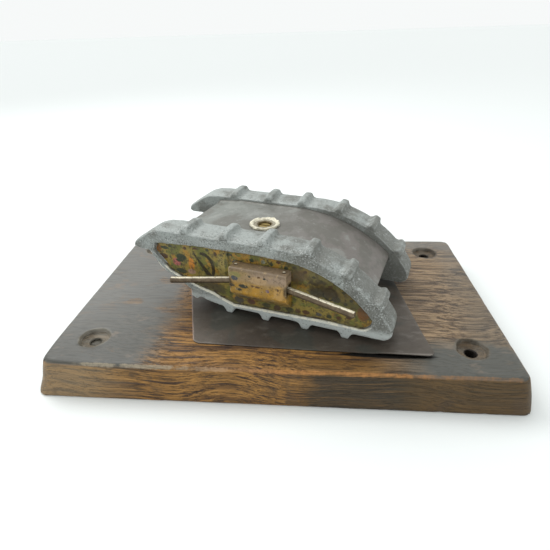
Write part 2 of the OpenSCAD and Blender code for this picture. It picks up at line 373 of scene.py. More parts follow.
    def bump(self, height, distance, strength=1.0, under=None):
        inputs = {"Distance": distance * MM, "Strength": strength, "Height": height}
        if under is not None:
            inputs["Normal"] = under
        return self.node("ShaderNodeBump", inputs).outputs["Normal"]

    def finish(self, rough, metallic, normal, specular=0.5):
        inputs = {"Base Color": self.body, "Roughness": rough, "Metallic": metallic,
                  "Specular IOR Level": specular, "Normal": normal}
        for key, value in inputs.items():
            self.put(self.surface.inputs[key], value)
        return self.material

    def finish_paint(self, worn, rough, smooth):
        """Old paint: a low swell under fine wear, glossier where it is rubbed."""
        grain = self.bump(worn, 0.15, 0.6, self.bump(self.noise(0.4, 3, 0.5), 0.4, 0.5))
        return self.finish(self.between(worn, 0.3, 0.7, rough, smooth), 0.0, grain, 0.35)


# ---------------------------- materials


def cast_metal():
    """Oxidised grey casting: speckled and pitted, rubbed pale on its edges."""
    s = Shader("cast_metal")
    x, y, z = s.axes()
    broad = s.noise(0.09, 4, 0.6)
    mid = s.noise(0.42, 5, 0.68)
    speckle = s.noise(1.55, 4, 0.75)
    fine = s.noise(2.4, 3, 0.7)
    pits = s.between(s.cells(0.72, s.shaken(1.4, 0.9)), 0.1, 0.3)
    depth = s.size(y)
    outer = s.times(s.between(depth, HALF_W - 6.5, HALF_W - 1.5, 0.35, 1.0),
                    s.between(s.noise(0.16, 3, 0.6), 0.36, 0.56, 0.5, 1.0))
    # Random tone, darkened towards the tail as painted shade
    tone_and_tail_shade = s.minus(broad, s.between(x, -5.0, 60.0, 0.0, 0.21))
    s.body = s.blend(tone_and_tail_shade, 0.3, 0.56, (0.19, 0.196, 0.178), (0.335, 0.362, 0.346))
    s.wash(mid, 0.54, 0.7, 0.45, (0.42, 0.45, 0.435))
    s.wash(mid, 0.42, 0.32, 0.45, (0.17, 0.172, 0.155))
    s.lay(s.times(s.between(speckle, 0.57, 0.62), outer, 0.85), (0.6, 0.63, 0.62))
    s.lay(s.times(s.between(speckle, 0.44, 0.39), outer, 0.85), (0.08, 0.082, 0.074))
    # The outer face of the lower rim is painted lighter: painted light on the flaring face
    rim = s.times(s.between(depth, HALF_W - 2.2, HALF_W - 1.0), s.between(z, 9.0, 6.0, 0.0, 0.8))
    s.lay(rim, (0.58, 0.63, 0.615))
    s.lay(s.times(s.minus(1.0, pits), 0.5), (0.11, 0.112, 0.104))
    s.lay(s.rubbed(0.512, 0.56, 0.6), (0.52, 0.55, 0.535))
    s.lay(s.rubbed(0.485, 0.44, 0.5), (0.12, 0.118, 0.105))
    # The lower lip of each recess is scraped to a creamy line and carries a painted highlight
    level = s.plus(6.0, s.times(x, 0.03))
    slope = s.plus(1.4, s.times(x, -0.375))
    off = s.size(s.minus(z, s.highest(level, slope)))
    sill = s.times(s.between(depth, HALF_W - 0.7, HALF_W - 1.2),
                   s.between(depth, PANEL_Y - 1.2, PANEL_Y - 0.6),
                   s.between(off, 2.3, 1.5), s.between(x, 56.0, 52.0), 0.9)
    s.lay(sill, s.blend(mid, 0.42, 0.56, (0.075, 0.052, 0.03), (0.215, 0.18, 0.062)))
    # painted highlight along the lip, over the scraped wear
    lip_wear_and_highlight = s.times(s.between(depth, HALF_W - 1.4, HALF_W - 0.7), s.between(off, 1.6, 0.9),
                  s.rubbed(0.502, 0.525, 1.0), s.between(x, 58.0, 52.0),
                  s.between(s.noise(0.35, 4, 0.75), 0.38, 0.5, 0.3, 1.0))
    s.lay(lip_wear_and_highlight, (0.8, 0.78, 0.66))
    dents = s.bump(mid, 0.5, 0.6)
    grit = s.bump(speckle, 0.35, 0.7, dents)
    sand = s.bump(fine, 0.14, 0.5, grit)
    holes = s.bump(pits, 0.3, 0.7, sand)
    return s.finish(s.between(mid, 0.3, 0.75, 0.66, 0.48), 0.25, holes, 0.4)


def hull_metal():
    """The roof: browner than the castings, smudged, with fine grit and stains."""
    s = Shader("hull_metal")
    x, y, _ = s.axes()
    smudge = s.noise(0.075, 4, 0.55, s.stretched((1.0, 0.7, 1.0), s.shaken(6.0, 0.08)))
    patch = s.noise(0.28, 5, 0.65)
    fine = s.noise(1.3, 5, 0.75)
    # Browner towards the tail, and darker there as painted shade
    s.body = s.blend(x, -44.0, 40.0, (0.2, 0.212, 0.192), (0.184, 0.168, 0.154))
    s.wash(smudge, 0.49, 0.57, 0.75, (0.138, 0.134, 0.116))
    s.wash(smudge, 0.45, 0.38, 0.6, (0.27, 0.278, 0.256))
    s.wash(patch, 0.58, 0.72, 0.5, (0.3, 0.31, 0.285))
    s.wash(fine, 0.4, 0.28, 0.6, (0.095, 0.088, 0.075))
    s.wash(fine, 0.64, 0.76, 0.45, (0.36, 0.36, 0.33))
    # The roof darkens along the tracks and round the ferrule
    s.wash(s.size(y), TRACK_IN - 2.4, TRACK_IN - 0.4, 0.6, (0.13, 0.125, 0.11))
    round_ring = (SCREW_X + 1.5, SCREW_Y + 1.0, ROOF_Z)
    darkening = s.spot(s.shaken(3.0, 0.3), round_ring, (11.0, 10.0, THROUGH), 0.4)
    s.lay(s.times(darkening, 0.4), (0.12, 0.115, 0.098))
    dents = s.bump(s.noise(0.3, 4, 0.5), 0.5, 0.5)
    grit = s.bump(fine, 0.14, 0.6, dents)
    return s.finish(s.between(patch, 0.3, 0.7, 0.58, 0.44), 0.25, grit, 0.4)


def camouflage():
    """The side panels: ochre and olive camouflage, with dark blots, strokes and specks."""
    s = Shader("camouflage")
    loose = s.shaken(2.2, 0.5)
    tight = s.shaken(1.1, 1.1)
    x, _, z = s.axes(tight)
    broad = s.noise(0.13, 3, 0.5, loose)
    s.body = s.blend(broad, 0.44, 0.54, (0.16, 0.16, 0.038), (0.285, 0.215, 0.052))
    s.wash(s.noise(0.2, 3, 0.5), 0.56, 0.64, 0.8, (0.4, 0.215, 0.035))
    s.lay(s.between(s.noise(0.24, 4, 0.6, loose), 0.6, 0.68), (0.115, 0.125, 0.03))
    green, brown, grey = (0.04, 0.05, 0.026), (0.085, 0.042, 0.022), (0.085, 0.085, 0.08)
    patches = [
        (-52.6, 29.4, 2.3, 2.6, (0.2, 0.085, 0.02)), (-48.4, 29.9, 2.7, 0.9, green),
        (-50, 25, 3, 1.6, brown), (-36.4, 31.4, 1, 0.9, brown),
        (-42.3, 22.9, 2.5, 2.2, (0.42, 0.13, 0.11)), (-39.1, 26.1, 3.2, 1.9, green),
        (-40.4, 24.2, 2.4, 1, green), (-33.7, 23.4, 1.8, 3.7, (0.55, 0.22, 0.035)),
        (-34.1, 18.8, 2.4, 1.4, (0.42, 0.25, 0.17)), (-40.2, 18.2, 3.6, 1.5, green),
        (-16.6, 25, 2.4, 6.5, (0.34, 0.27, 0.085)), (-7.2, 28.7, 3.8, 1.2, grey),
        (-0.5, 31.1, 1.3, 1, green), (5.3, 31.3, 1.1, 1, (0.33, 0.36, 0.27)),
        (9.3, 30.9, 0.9, 1.1, green), (16.3, 30.2, 1.1, 1.1, green),
        (33, 26.6, 0.9, 0.7, green), (-45.2, 31.2, 1.1, 0.7, green),
        (-30.4, 32.2, 1.3, 0.7, brown), (-23.8, 32.4, 1, 0.8, green),
        (-19.6, 31, 0.9, 1.2, brown), (-12.2, 32.2, 1.5, 0.8, green),
        (12.8, 32.4, 1.2, 0.8, brown), (20.4, 31.2, 1.2, 0.9, green),
        (25.4, 29.8, 1, 0.7, brown), (29.4, 28, 1.1, 0.7, green),
        (37.2, 24.6, 1, 0.8, brown), (46.6, 19.6, 0.9, 0.9, green),
        (39.8, 18.7, 2.2, 1.8, green), (43.1, 22.9, 1.1, 0.8, green),
        (44.1, 17.2, 1.1, 1, green), (52.3, 14.1, 3, 4.2, (0.17, 0.075, 0.022)),
        (26, 8.6, 1.9, 1.3, brown), (41.5, 9.2, 1.4, 1.2, brown), (32.1, 8.9, 1.5, 1.1, grey),
        (-8.6, 7.9, 2.8, 2.1, (0.07, 0.07, 0.066)), (-1.9, 8.2, 2.3, 1.7, (0.11, 0.045, 0.035)),
        (6, 7.8, 2.2, 1.5, green), (11.7, 7.8, 2, 1.5, (0.06, 0.032, 0.026)),
        (17.8, 8.2, 2.1, 1.5, green), (22, 8.3, 1.5, 1.2, brown),
        (37, 9, 1.3, 1.1, green), (46, 10.6, 1.5, 1.2, brown),
    ]
    cloudy = s.shaken(7.0, 0.22)
    clouds = [
        (21.7, 26.7, 4.2, 4.2, (0.1, 0.06, 0.026)), (33, 28.2, 7, 2.8, (0.25, 0.22, 0.06)),
        (34, 21, 7.4, 2.8, (0.042, 0.034, 0.02)),
        (30.5, 25.2, 4.4, 1.5, (0.05, 0.042, 0.024)),
        # the low dark cloud in front of the gun box is painted shade under the front gun
        (-25, 11.5, 9.5, 3.6, (0.085, 0.068, 0.036)),
    ]
    s.blots(cloudy, 0.3, 0.9, clouds)
    s.blots(tight, 0.16, 1.0, patches)
    # A thick arc, a slanting stroke and a thin ring, drawn in black
    ring = s.spot(tight, (-27.0, 0, 22.8), (7.0, THROUGH, 8.6), 0.02)
    hollow = s.spot(tight, (-27.3, 0, 22.5), (5.4, THROUGH, 7.1), 0.02)
    arc = s.times(s.minus(ring, hollow, clamp=True), s.between(x, -29.0, -27.5))
    slant = s.plus(x, s.times(z, 0.7))
    width = s.between(z, 29.0, 19.0, 0.15, 1.3)
    bar = s.minus(s.between(s.plus(slant, width), -11.6, -11.2),
                  s.between(s.minus(slant, width), -10.9, -10.5))
    bar = s.times(bar, s.between(z, 17.8, 18.8), s.between(z, 30.2, 29.2))
    loop = s.minus(s.spot(tight, (37.0, 0, 20.8), (3.7, THROUGH, 3.6), 0.06),
                   s.spot(tight, (36.7, 0, 20.7), (2.8, THROUGH, 2.7), 0.06), clamp=True)
    s.lay(s.times(s.highest(arc, bar, loop), 0.93), (0.022, 0.018, 0.01))
    specks = s.between(s.cells(0.6, loose), 0.31, 0.22)
    some = s.between(s.noise(0.35, 2, 0.5), 0.44, 0.52)
    s.lay(s.times(specks, some, 0.9), (0.05, 0.03, 0.014))
    worn = s.noise(1.3, 5, 0.75)
    s.wash(worn, 0.62, 0.72, 0.65, (0.5, 0.43, 0.24))
    s.wash(worn, 0.43, 0.31, 0.8, (0.05, 0.038, 0.018))
    grime = s.noise(0.55, 4, 0.7, loose)
    s.wash(grime, 0.49, 0.62, 0.75, (0.078, 0.068, 0.038))
    # The paint darkens towards the foot, and a painted shadow lies under the upper rim
    x, _, z = s.axes()
    s.wash(z, 11.0, 6.5, 0.3, (0.1, 0.072, 0.03))
    level = s.plus(z, s.times(s.between(x, 8.0, 50.0), 19.0))
    s.wash(level, 32.6, 34.6, 0.55, (0.055, 0.036, 0.014))
    return s.finish_paint(worn, 0.46, 0.32)


def sponson_paint():
    """The gun boxes: warm ochre, pinker above, with dark blots and specks."""
    s = Shader("sponson_paint")
    loose = s.shaken(2.0, 0.5)
    tight = s.shaken(1.2, 1.1)
    x, _, z = s.axes(loose)
    s.body = s.blend(s.noise(0.2, 3, 0.5), 0.4, 0.6, (0.33, 0.195, 0.042), (0.44, 0.24, 0.036))
    s.wash(z, 20.5, 25.5, 0.85, (0.31, 0.225, 0.125))
    pinker = s.times(s.between(z, 23.0, 27.0), s.between(x, -1.0, 6.0))
    s.lay(s.times(pinker, 0.8), (0.33, 0.24, 0.175))
    dark, brown = (0.035, 0.04, 0.03), (0.12, 0.062, 0.024)
    patches = [
        (-4.1, 28, 4.6, 1.6, (0.3, 0.21, 0.09)), (-6, 26.6, 3.6, 1.6, (0.25, 0.22, 0.08)),
        (5.5, 25.3, 5, 2.2, (0.42, 0.285, 0.15)), (15.8, 20.6, 3, 4.2, (0.47, 0.285, 0.09)),
        (-6.2, 24.6, 1.9, 1.3, (0.065, 0.075, 0.085)), (-7.7, 20.6, 1.5, 0.8, dark),
        (-2, 21, 2.7, 1.1, dark), (-4.3, 19, 1.7, 0.8, dark), (2.9, 22, 1.2, 0.6, brown),
        (5.2, 21.9, 1.2, 0.6, brown), (10.1, 20.8, 1.1, 0.9, (0.14, 0.085, 0.12)),
        (15.1, 22.4, 0.6, 0.8, brown), (1.4, 26.7, 0.6, 0.7, dark), (6.1, 27.2, 0.8, 0.5, brown),
        (8.8, 26.9, 0.8, 0.6, dark), (-3.4, 12.6, 3, 2.2, (0.085, 0.085, 0.075)),
        (3, 12.8, 2.4, 1.6, (0.12, 0.06, 0.04)), (10, 12, 2, 1.2, dark),
    ]
    s.blots(tight, 0.18, 1.0, patches)
    specks = s.between(s.cells(0.55, loose), 0.22, 0.12)
    some = s.between(s.noise(0.35, 2, 0.5), 0.47, 0.55)
    s.lay(s.times(specks, some, 0.85), (0.06, 0.036, 0.016))
    x, y, z = s.axes()
    # Painted shade: darker on the top face and towards the underside
    s.wash(z, 27.8, 29.4, 0.8, (0.175, 0.125, 0.078))
    s.wash(z, 15.5, 11.0, 0.6, (0.14, 0.1, 0.03))
    # The front upright edge carries a cream painted highlight, and each gun port gets a dark spot
    # of painted shade in its opening
    nose = s.between(s.plus(x, s.noise(0.8, 3, 0.7)), -7.9, -8.6, 0.0, 0.8)
    nose = s.times(nose, s.between(s.size(y), 37.6, 38.4))
    s.lay(nose, (0.52, 0.43, 0.27))
    for port_x in (SPONSON_X - SPONSON_L / 2, SPONSON_X + SPONSON_L / 2):
        darkening = s.spot(tight, (port_x, 0, BARREL_Z), (1.8, THROUGH, 3.2), 0.3)
        s.lay(s.times(darkening, 0.85), (0.026, 0.018, 0.01))
    worn = s.noise(1.3, 5, 0.75)
    s.wash(worn, 0.62, 0.73, 0.6, (0.6, 0.46, 0.25))
    s.wash(worn, 0.42, 0.3, 0.75, (0.085, 0.052, 0.02))
    smear = s.noise(0.5, 4, 0.7, loose)
    s.wash(smear, 0.54, 0.64, 0.6, (0.12, 0.085, 0.042))
    s.wash(smear, 0.44, 0.36, 0.45, (0.5, 0.36, 0.17))
    s.lay(s.rubbed(0.515, 0.56, 0.45), (0.52, 0.42, 0.26))
    return s.finish_paint(worn, 0.44, 0.3)


def old_brass():
    """Gun barrels: brown tarnished brass, with a painted highlight along the top and painted shade
    underneath.
    """
    s = Shader("old_brass")
    drawn = s.noise(0.35, 3, 0.55)
    spots = s.noise(0.9, 3, 0.6)
    s.body = s.blend(drawn, 0.35, 0.65, (0.1, 0.07, 0.04), (0.16, 0.118, 0.07))
    s.wash(spots, 0.55, 0.68, 0.7, (0.06, 0.04, 0.024))
    up = s.normal_axes()["Z"]
    top_highlight = s.times(s.between(s.plus(up, s.times(drawn, 0.2)), 0.88, 1.0),
                    s.between(spots, 0.68, 0.5, 0.35, 1.0))
    s.lay(top_highlight, (0.76, 0.7, 0.54))
    # painted shade on the underside
    s.wash(up, -0.05, -0.45, 0.8, (0.045, 0.03, 0.018))
    grit = s.bump(spots, 0.05, 0.4)
    return s.finish(s.between(spots, 0.3, 0.7, 0.4, 0.55), 0.3, grit)


def tinned_ring():
    """The roof ferrule: a thin, pale, ragged rim, browned inside it."""
    s = Shader("tinned_ring")
    x, y, _ = s.axes()
    radius = s.length(s.minus(x, SCREW_X), s.minus(y, SCREW_Y))
    fine = s.noise(1.2, 5, 0.75)
    ragged = s.plus(radius, s.times(s.minus(s.noise(0.5, 4, 0.7), 0.5), 2.6))
    s.body = s.blend(fine, 0.35, 0.65, (0.56, 0.52, 0.38), (0.86, 0.82, 0.68))
    dull = s.blend(fine, 0.35, 0.65, (0.2, 0.175, 0.12), (0.36, 0.33, 0.25))
    s.lay(s.between(ragged, 5.3, 5.8, 1.0, 0.0), dull)
    s.wash(ragged, 7.6, 8.2, 0.7, (0.2, 0.19, 0.155))
    s.lay(s.between(radius, 4.4, 3.4), (0.1, 0.07, 0.022))
    s.wash(fine, 0.38, 0.26, 0.8, (0.12, 0.095, 0.05))
    grit = s.bump(fine, 0.4, 0.8)
    return s.finish(0.55, 0.1, grit, 0.35)


def dark_screw():
    """The mounting screw: dark golden brass."""
    s = Shader("dark_screw")
    fine = s.noise(1.5, 4, 0.7)
    s.body = s.blend(fine, 0.3, 0.7, (0.16, 0.11, 0.03), (0.36, 0.26, 0.07))
    return s.finish(s.between(fine, 0.3, 0.7, 0.5, 0.35), 0.5, s.bump(fine, 0.15, 0.6))


def plain_steel():
    """Rods and pins: dull drawn steel."""
    s = Shader("plain_steel")
    fine = s.noise(1.1, 4, 0.7)
    s.body = s.blend(fine, 0.35, 0.65, (0.22, 0.21, 0.2), (0.38, 0.37, 0.35))
    return s.finish(s.between(fine, 0.3, 0.7, 0.55, 0.4), 0.6, s.bump(fine, 0.1, 0.5))


def dark_plate():
    """The plate: dark brown patina, smudged, with a pinkish rubbed left edge under a painted
    highlight.
    """
    s = Shader("dark_plate", "board")
    x, y, _ = s.axes()
    broad = s.noise(0.035, 4, 0.55)
    mid = s.noise(0.2, 5, 0.65, s.stretched((0.7, 1.4, 1.0)))
    fine = s.noise(1.6, 4, 0.7)
    s.body = s.blend(broad, 0.35, 0.65, (0.058, 0.046, 0.036), (0.098, 0.082, 0.066))
    s.wash(s.noise(0.055, 3, 0.5), 0.5, 0.6, 0.6, (0.052, 0.058, 0.05))
    s.wash(mid, 0.52, 0.72, 0.55, (0.15, 0.132, 0.112))
    s.wash(fine, 0.38, 0.24, 0.6, (0.028, 0.024, 0.019))
    # the pinkish left edge: rubbed copper with a painted highlight
    away = s.plus(s.plus(x, s.times(y, 0.273)), 51.2)
    s.wash(s.plus(away, s.times(mid, 1.2)), 1.4, 0.7, 0.8, (0.34, 0.24, 0.19))
    s.wash(s.plus(y, s.times(fine, 0.8)), -51.4, -52.4, 0.5, (0.26, 0.235, 0.21))
    waves = s.bump(s.noise(0.12, 3, 0.5), 0.4, 0.5)
    grit = s.bump(fine, 0.08, 0.6, waves)
    return s.finish(s.between(mid, 0.3, 0.75, 0.52, 0.36), 0.2, grit, 0.4)


def oak():
    """The board: crisp dark and orange grain along X, wax under a painted slate-grey reflection,
    dirt, painted shade in the holes and under the plate, and rubbed edges with a painted
    highlight.
    """
    s = Shader("oak", "board")
    x, y, z = s.axes()
    waver = s.noise(0.015, 1, 0.5)
    ripple = s.noise(0.045, 1, 0.5, s.stretched((0.6, 1.0, 1.0)))
    sway = s.times(waver, 20.0)
    bent = s.joined(X=x, Y=s.plus(y, sway), Z=s.plus(z, s.plus(sway, s.times(ripple, 2.2))))
    bands = s.noise(0.17, 3, 0.5, s.stretched((0.05, 1.0, 1.3), bent))
    lines = s.noise(0.66, 6, 0.72, s.stretched((0.024, 1.0, 1.5), bent))
    threads = s.noise(1.4, 4, 0.72, s.stretched((0.03, 1.0, 1.35), bent))
    pores = s.noise(2.9, 3, 0.6, s.stretched((0.1, 1.0, 1.0), bent))
    on_top = s.between(z, BOARD_T - 1.9, BOARD_T - 0.9)
    on_side = s.minus(1.0, on_top)
    loose = s.shaken(18.0, 0.055)
    loose_x, loose_y, _ = s.axes(loose)
    mottle = s.noise(0.1, 4, 0.65, s.stretched((0.6, 1.0, 1.0)))

    # Bare wood: orange brown between dark lines
    s.body = s.blend(bands, 0.38, 0.6, (0.165, 0.084, 0.029), (0.31, 0.16, 0.044))
    s.wash(lines, 0.53, 0.61, 0.8, (0.41, 0.212, 0.06))
    s.wash(lines, 0.475, 0.42, 0.9, (0.046, 0.027, 0.02))
    s.wash(threads, 0.455, 0.39, 0.8, (0.038, 0.024, 0.018))
    s.wash(pores, 0.42, 0.33, 0.7, (0.028, 0.018, 0.013))

    # The top's right half is tan and greyer; its front middle is darker
    tan = s.blend(lines, 0.43, 0.57, (0.085, 0.062, 0.044), (0.28, 0.212, 0.138))
    s.lay(s.times(on_top, s.between(loose_x, 34.0, 60.0, 0.0, 0.8)), tan)
    middle = s.spot(loose, (34.0, -60.0, BOARD_T), (30.0, 6.0, THROUGH), 0.4)
    s.lay(s.times(on_top, middle, 0.5), (0.075, 0.044, 0.018))

    # Wax lies over the left, the back and the front right corner; its slate grey is a painted
    # reflection, paler towards the back and darker towards the front as painted light
    sheen_shaded = s.blend(threads, 0.38, 0.56, (0.072, 0.072, 0.064), (0.093, 0.095, 0.086))
    sheen_lit = s.blend(threads, 0.38, 0.56, (0.132, 0.132, 0.122), (0.17, 0.171, 0.16))
    # painted light: paler towards the back, darker towards the front
    light_falloff = s.minus(loose_y, s.times(loose_x, 0.35))
    wax_sheen = s.blend(light_falloff, -32.0, 30.0, sheen_shaded, sheen_lit)
    wax_sheen = s.mix(s.between(mottle, 0.58, 0.7, 0.0, 0.5), wax_sheen, (0.22, 0.175, 0.135))
    left = s.between(loose_x, -43.0, -64.0)
    back = s.between(loose_y, 38.0, 56.0, 0.0, 0.75)
    corner = s.spot(loose, (90.0, -58.0, BOARD_T), (32.0, 18.0, THROUGH), 0.35)
    far_right = s.between(loose_x, 80.0, 100.0, 0.0, 0.45)
    wax_and_sheen = s.highest(left, back, corner, far_right)
    for bare_x, bare_y, rx, ry in ((-80, -18, 5.0, 2.4), (-66, 6, 4.0, 3.0), (-60, -22, 6.0, 2.2)):
        bare = s.spot(loose, (bare_x, bare_y, BOARD_T), (rx, ry, THROUGH), 0.4)
        wax_and_sheen = s.minus(wax_and_sheen, s.times(bare, 0.35), clamp=True)
    wax_and_sheen = s.times(wax_and_sheen, s.between(mottle, 0.34, 0.46, 0.86, 1.0), on_top)
    s.lay(s.times(wax_and_sheen, 0.97), wax_sheen)

    # The sides: a charred patch right of the middle, dull brown beyond it, grey ends
    front = s.times(on_side, s.between(y, -BOARD_D / 2 + 6.0, -BOARD_D / 2 + 5.0))
    slow = s.axes(s.shaken(12.0, 0.07))["X"]
    char = s.times(s.between(slow, 8.0, 20.0), s.between(slow, 66.0, 52.0),
                   s.between(lines, 0.5, 0.64, 1.0, 0.75))
    s.lay(s.times(char, front, 0.9), (0.042, 0.036, 0.026))
    s.lay(s.times(front, s.between(slow, 46.0, 60.0, 0.0, 0.82)), (0.075, 0.052, 0.026))
    s.lay(s.times(front, s.between(slow, -52.0, -88.0, 0.0, 0.62)), (0.27, 0.205, 0.125))

    # End grain: growth rings about a pith below the board, with dark pores
    off_y, off_z = s.minus(y, 22.0), s.plus(z, 46.0)
    polar = s.joined(X=s.plus(s.length(off_y, off_z), s.times(mottle, 5.0)),
                     Y=s.times(s.math("ARCTAN2", off_y, off_z), 5.0))
    years = s.noise(0.5, 4, 0.6, polar)
    end_wood = s.blend(years, 0.42, 0.57, (0.076, 0.047, 0.026), (0.168, 0.11, 0.056))
    specks = s.between(s.noise(2.2, 3, 0.6), 0.42, 0.33, 0.0, 0.7)
    end_wood = s.mix(specks, end_wood, (0.04, 0.028, 0.019))
    s.lay(s.between(s.size(s.normal_axes()["X"]), 0.6, 0.85), end_wood)
    stain = s.times(on_side, s.between(s.noise(0.055, 4, 0.6), 0.55, 0.66, 0.0, 0.5))
    s.lay(stain, (0.075, 0.052, 0.034))

    # The upper edges are rubbed to a thin bright line, partly a painted highlight
    side_x = s.minus(BOARD_L / 2 - FLARE, s.size(x))
    side_y = s.minus(BOARD_D / 2 - FLARE, s.size(y))
    gap = s.plus(s.minus(BOARD_T, z), s.math("MINIMUM", side_x, side_y))
    ragged = s.plus(gap, s.times(s.minus(s.noise(0.6, 4, 0.75), 0.5), 0.7))
    rim = s.times(s.between(ragged, 1.15, 1.5, 1.0, 0.0),
                  s.between(s.noise(0.09, 5, 0.75), 0.38, 0.52, 0.4, 0.9),
                  s.between(side_y, 8.0, 4.0, 0.3, 1.0), s.between(slow, 48.0, 78.0, 1.0, 0.4))
    s.lay(rim, s.blend(slow, -60.0, 10.0, (0.34, 0.29, 0.21), (0.44, 0.205, 0.065)))

    # Dirt fills the screw holes; the right pilots are painted near black as painted shade, and a
    # painted shadow darkens the gap under the plate's lifted corner
    left_dirt = ((0.115, 0.105, 0.082), (0.21, 0.195, 0.16), (0.09, 0.082, 0.064))
    right_dirt_and_shade = ((0.055, 0.047, 0.035), (0.125, 0.112, 0.09), (0.016, 0.012, 0.009))
    for sx, (*dirt, deep) in ((-1, left_dirt), (1, right_dirt_and_shade)):
        for sy in (-1, 1):
            spot = s.spot(s.shaken(1.2, 0.8), (sx * HOLE_X, sy * HOLE_Y, BOARD_T - 1.5),
                          (7.5, 7.5, 30.0), 0.1)
            s.lay(s.times(spot, 0.85), s.blend(mottle, 0.4, 0.6, *dirt))
            s.lay(s.spot(s.place, (sx * HOLE_X, sy * HOLE_Y, 0), (3.0, 3.0, THROUGH), 0.06), deep)
    # painted shadow in the gap under the plate's lifted corner
    s.lay(s.spot(s.place, (49.0, -52.2, BOARD_T), (20.5, 1.7, 3.0), 0.12), (0.006, 0.005, 0.004))
    open_grain = s.between(wax_and_sheen, 0.2, 0.9, 1.0, 0.06)
    grain = s.bump(s.times(lines, open_grain), 0.35, 0.6)
    cracks = s.bump(s.times(s.between(threads, 0.39, 0.47), open_grain), 0.2, 0.7, grain)
    pits = s.bump(s.times(s.between(pores, 0.32, 0.44), open_grain), 0.14, 0.6, cracks)
    return s.finish(s.between(wax_and_sheen, 0.0, 1.0, 0.46, 0.4), 0.0, pits, 0.22)


# ---------------------------- track castings


def track_outline():
    """The side profile of a track without its cleats, as in the CAD model."""
    foot_z, tail_r = 3.2, 5.0
    crest_z = CREST_H - CREST_R
    tail_angle = math.asin((foot_z + tail_r - crest_z) / (CREST_R - tail_r))
    tail_x = CREST_X + (CREST_R - tail_r) * math.cos(tail_angle)
    nose_x, nose_z, nose_r = -65.55, 30.6, 2.3

    def arc(cx, cz, r, a0, a1, n):
        angles = np.linspace(a0, a1, n)
        return [(cx + r * math.cos(a), cz + r * math.sin(a)) for a in angles]

    out = [(-59.0, 36.1), (-54.7, 38.8), (-50.2, 40.2), (-44.0, CREST_H)]
    out += arc(CREST_X, crest_z, CREST_R, math.pi / 2, tail_angle, 30)
    out += arc(tail_x, foot_z + tail_r, tail_r, tail_angle, -math.pi / 2, 9)
    out += [(-18.0, foot_z), (-26.0, 4.7), (-31.0, 6.9), (-38.6, 12.0), (-46.3, 16.4)]
    out += [(-50.6, 19.3), (-52.6, 22.0), (-55.6, 27.1), (-57.2, 28.3)]
    out += arc(nose_x + nose_r, nose_z, nose_r, math.radians(270), math.radians(125), 7)
    return np.array(out)


def depth_inside(co, outline):
    """How far each (x, z) is inside the outline, and the direction inwards there."""
    step = np.roll(outline, -1, axis=0) - outline
    flat = co[:, [0, 2]]
    best = np.full(len(flat), 1e9)
    inward = np.zeros((len(flat), 2))
    for a, d in zip(outline, step):
        length2 = d @ d
        t = np.clip(((flat - a) @ d) / length2, 0, 1)
        near = a + t[:, None] * d
        gap = np.linalg.norm(flat - near, axis=1)
        closer = gap < best
        best[closer] = gap[closer]
        inward[closer] = np.array([d[1], -d[0]]) / math.sqrt(length2)
    turns = np.zeros(len(flat))
    for a, d in zip(outline, step):
        cross = d[0] * (flat[:, 1] - a[1]) - d[1] * (flat[:, 0] - a[0])
        turns += (a[1] <= flat[:, 1]) & (a[1] + d[1] > flat[:, 1]) & (cross > 0)
        turns -= (a[1] > flat[:, 1]) & (a[1] + d[1] <= flat[:, 1]) & (cross < 0)
    return np.where(turns != 0, best, -best), inward


def track_casting(side, material):
    """One side's casting: crowned track, rounded cleats and a rough, soft-edged rim."""
    node = f"{side}_track_casting"
    mesh = remeshed(node, TANK, 0.45, 3)
    co = per_point(mesh, "co")
    depth, inward = depth_inside(co, track_outline())
    across = (np.abs(co[:, 1]) - TRACK_MID) / (TRACK_W / 2)
    skin = 1 - smoothstep(depth / 4.0)
    upper = smoothstep((-inward[:, 1] + 0.35) / 0.5)
    crown = 0.7 * np.abs(across) ** 4 * skin * upper
    outside = smoothstep(-depth / 1.2)
    ends = np.abs(across) ** 7 * outside * upper
    rough = 0.16 * lumps(co, 5.0, 1) + 0.09 * lumps(co, 1.7, 2)
    # The beak is the roughest part of the casting
    rough += 0.55 * smoothstep((-49.0 - co[:, 0]) / 9.0) * lumps(co, 2.8, 3)
    move = crown + ends
    co[:, 0] += inward[:, 0] * move
    co[:, 2] += inward[:, 1] * move
    set_points(mesh, co)
    inner_face = np.abs(np.abs(co[:, 1]) - TRACK_IN) < 0.3
    rough[inner_face] = 0
    co -= per_point(mesh, "normal") * (np.abs(rough) * 0.6 + 0.4 * rough)[:, None] * 0.8
    set_points(mesh, co)
    piece = finish_object(f"{side}_casting", mesh, TANK, material)
    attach(piece, "tank")
    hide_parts(node)


# ---------------------------- hull


def roof_height(x):
    if x < ROOF_FRONT_X + 14:
        return ROOF_Z - 1.2 * ((ROOF_FRONT_X + 14 - x) / 14)
    if x < ROOF_BEND_X:
        return ROOF_Z
    return ROOF_Z - ROOF_R + math.sqrt(ROOF_R ** 2 - (x - ROOF_BEND_X) ** 2)


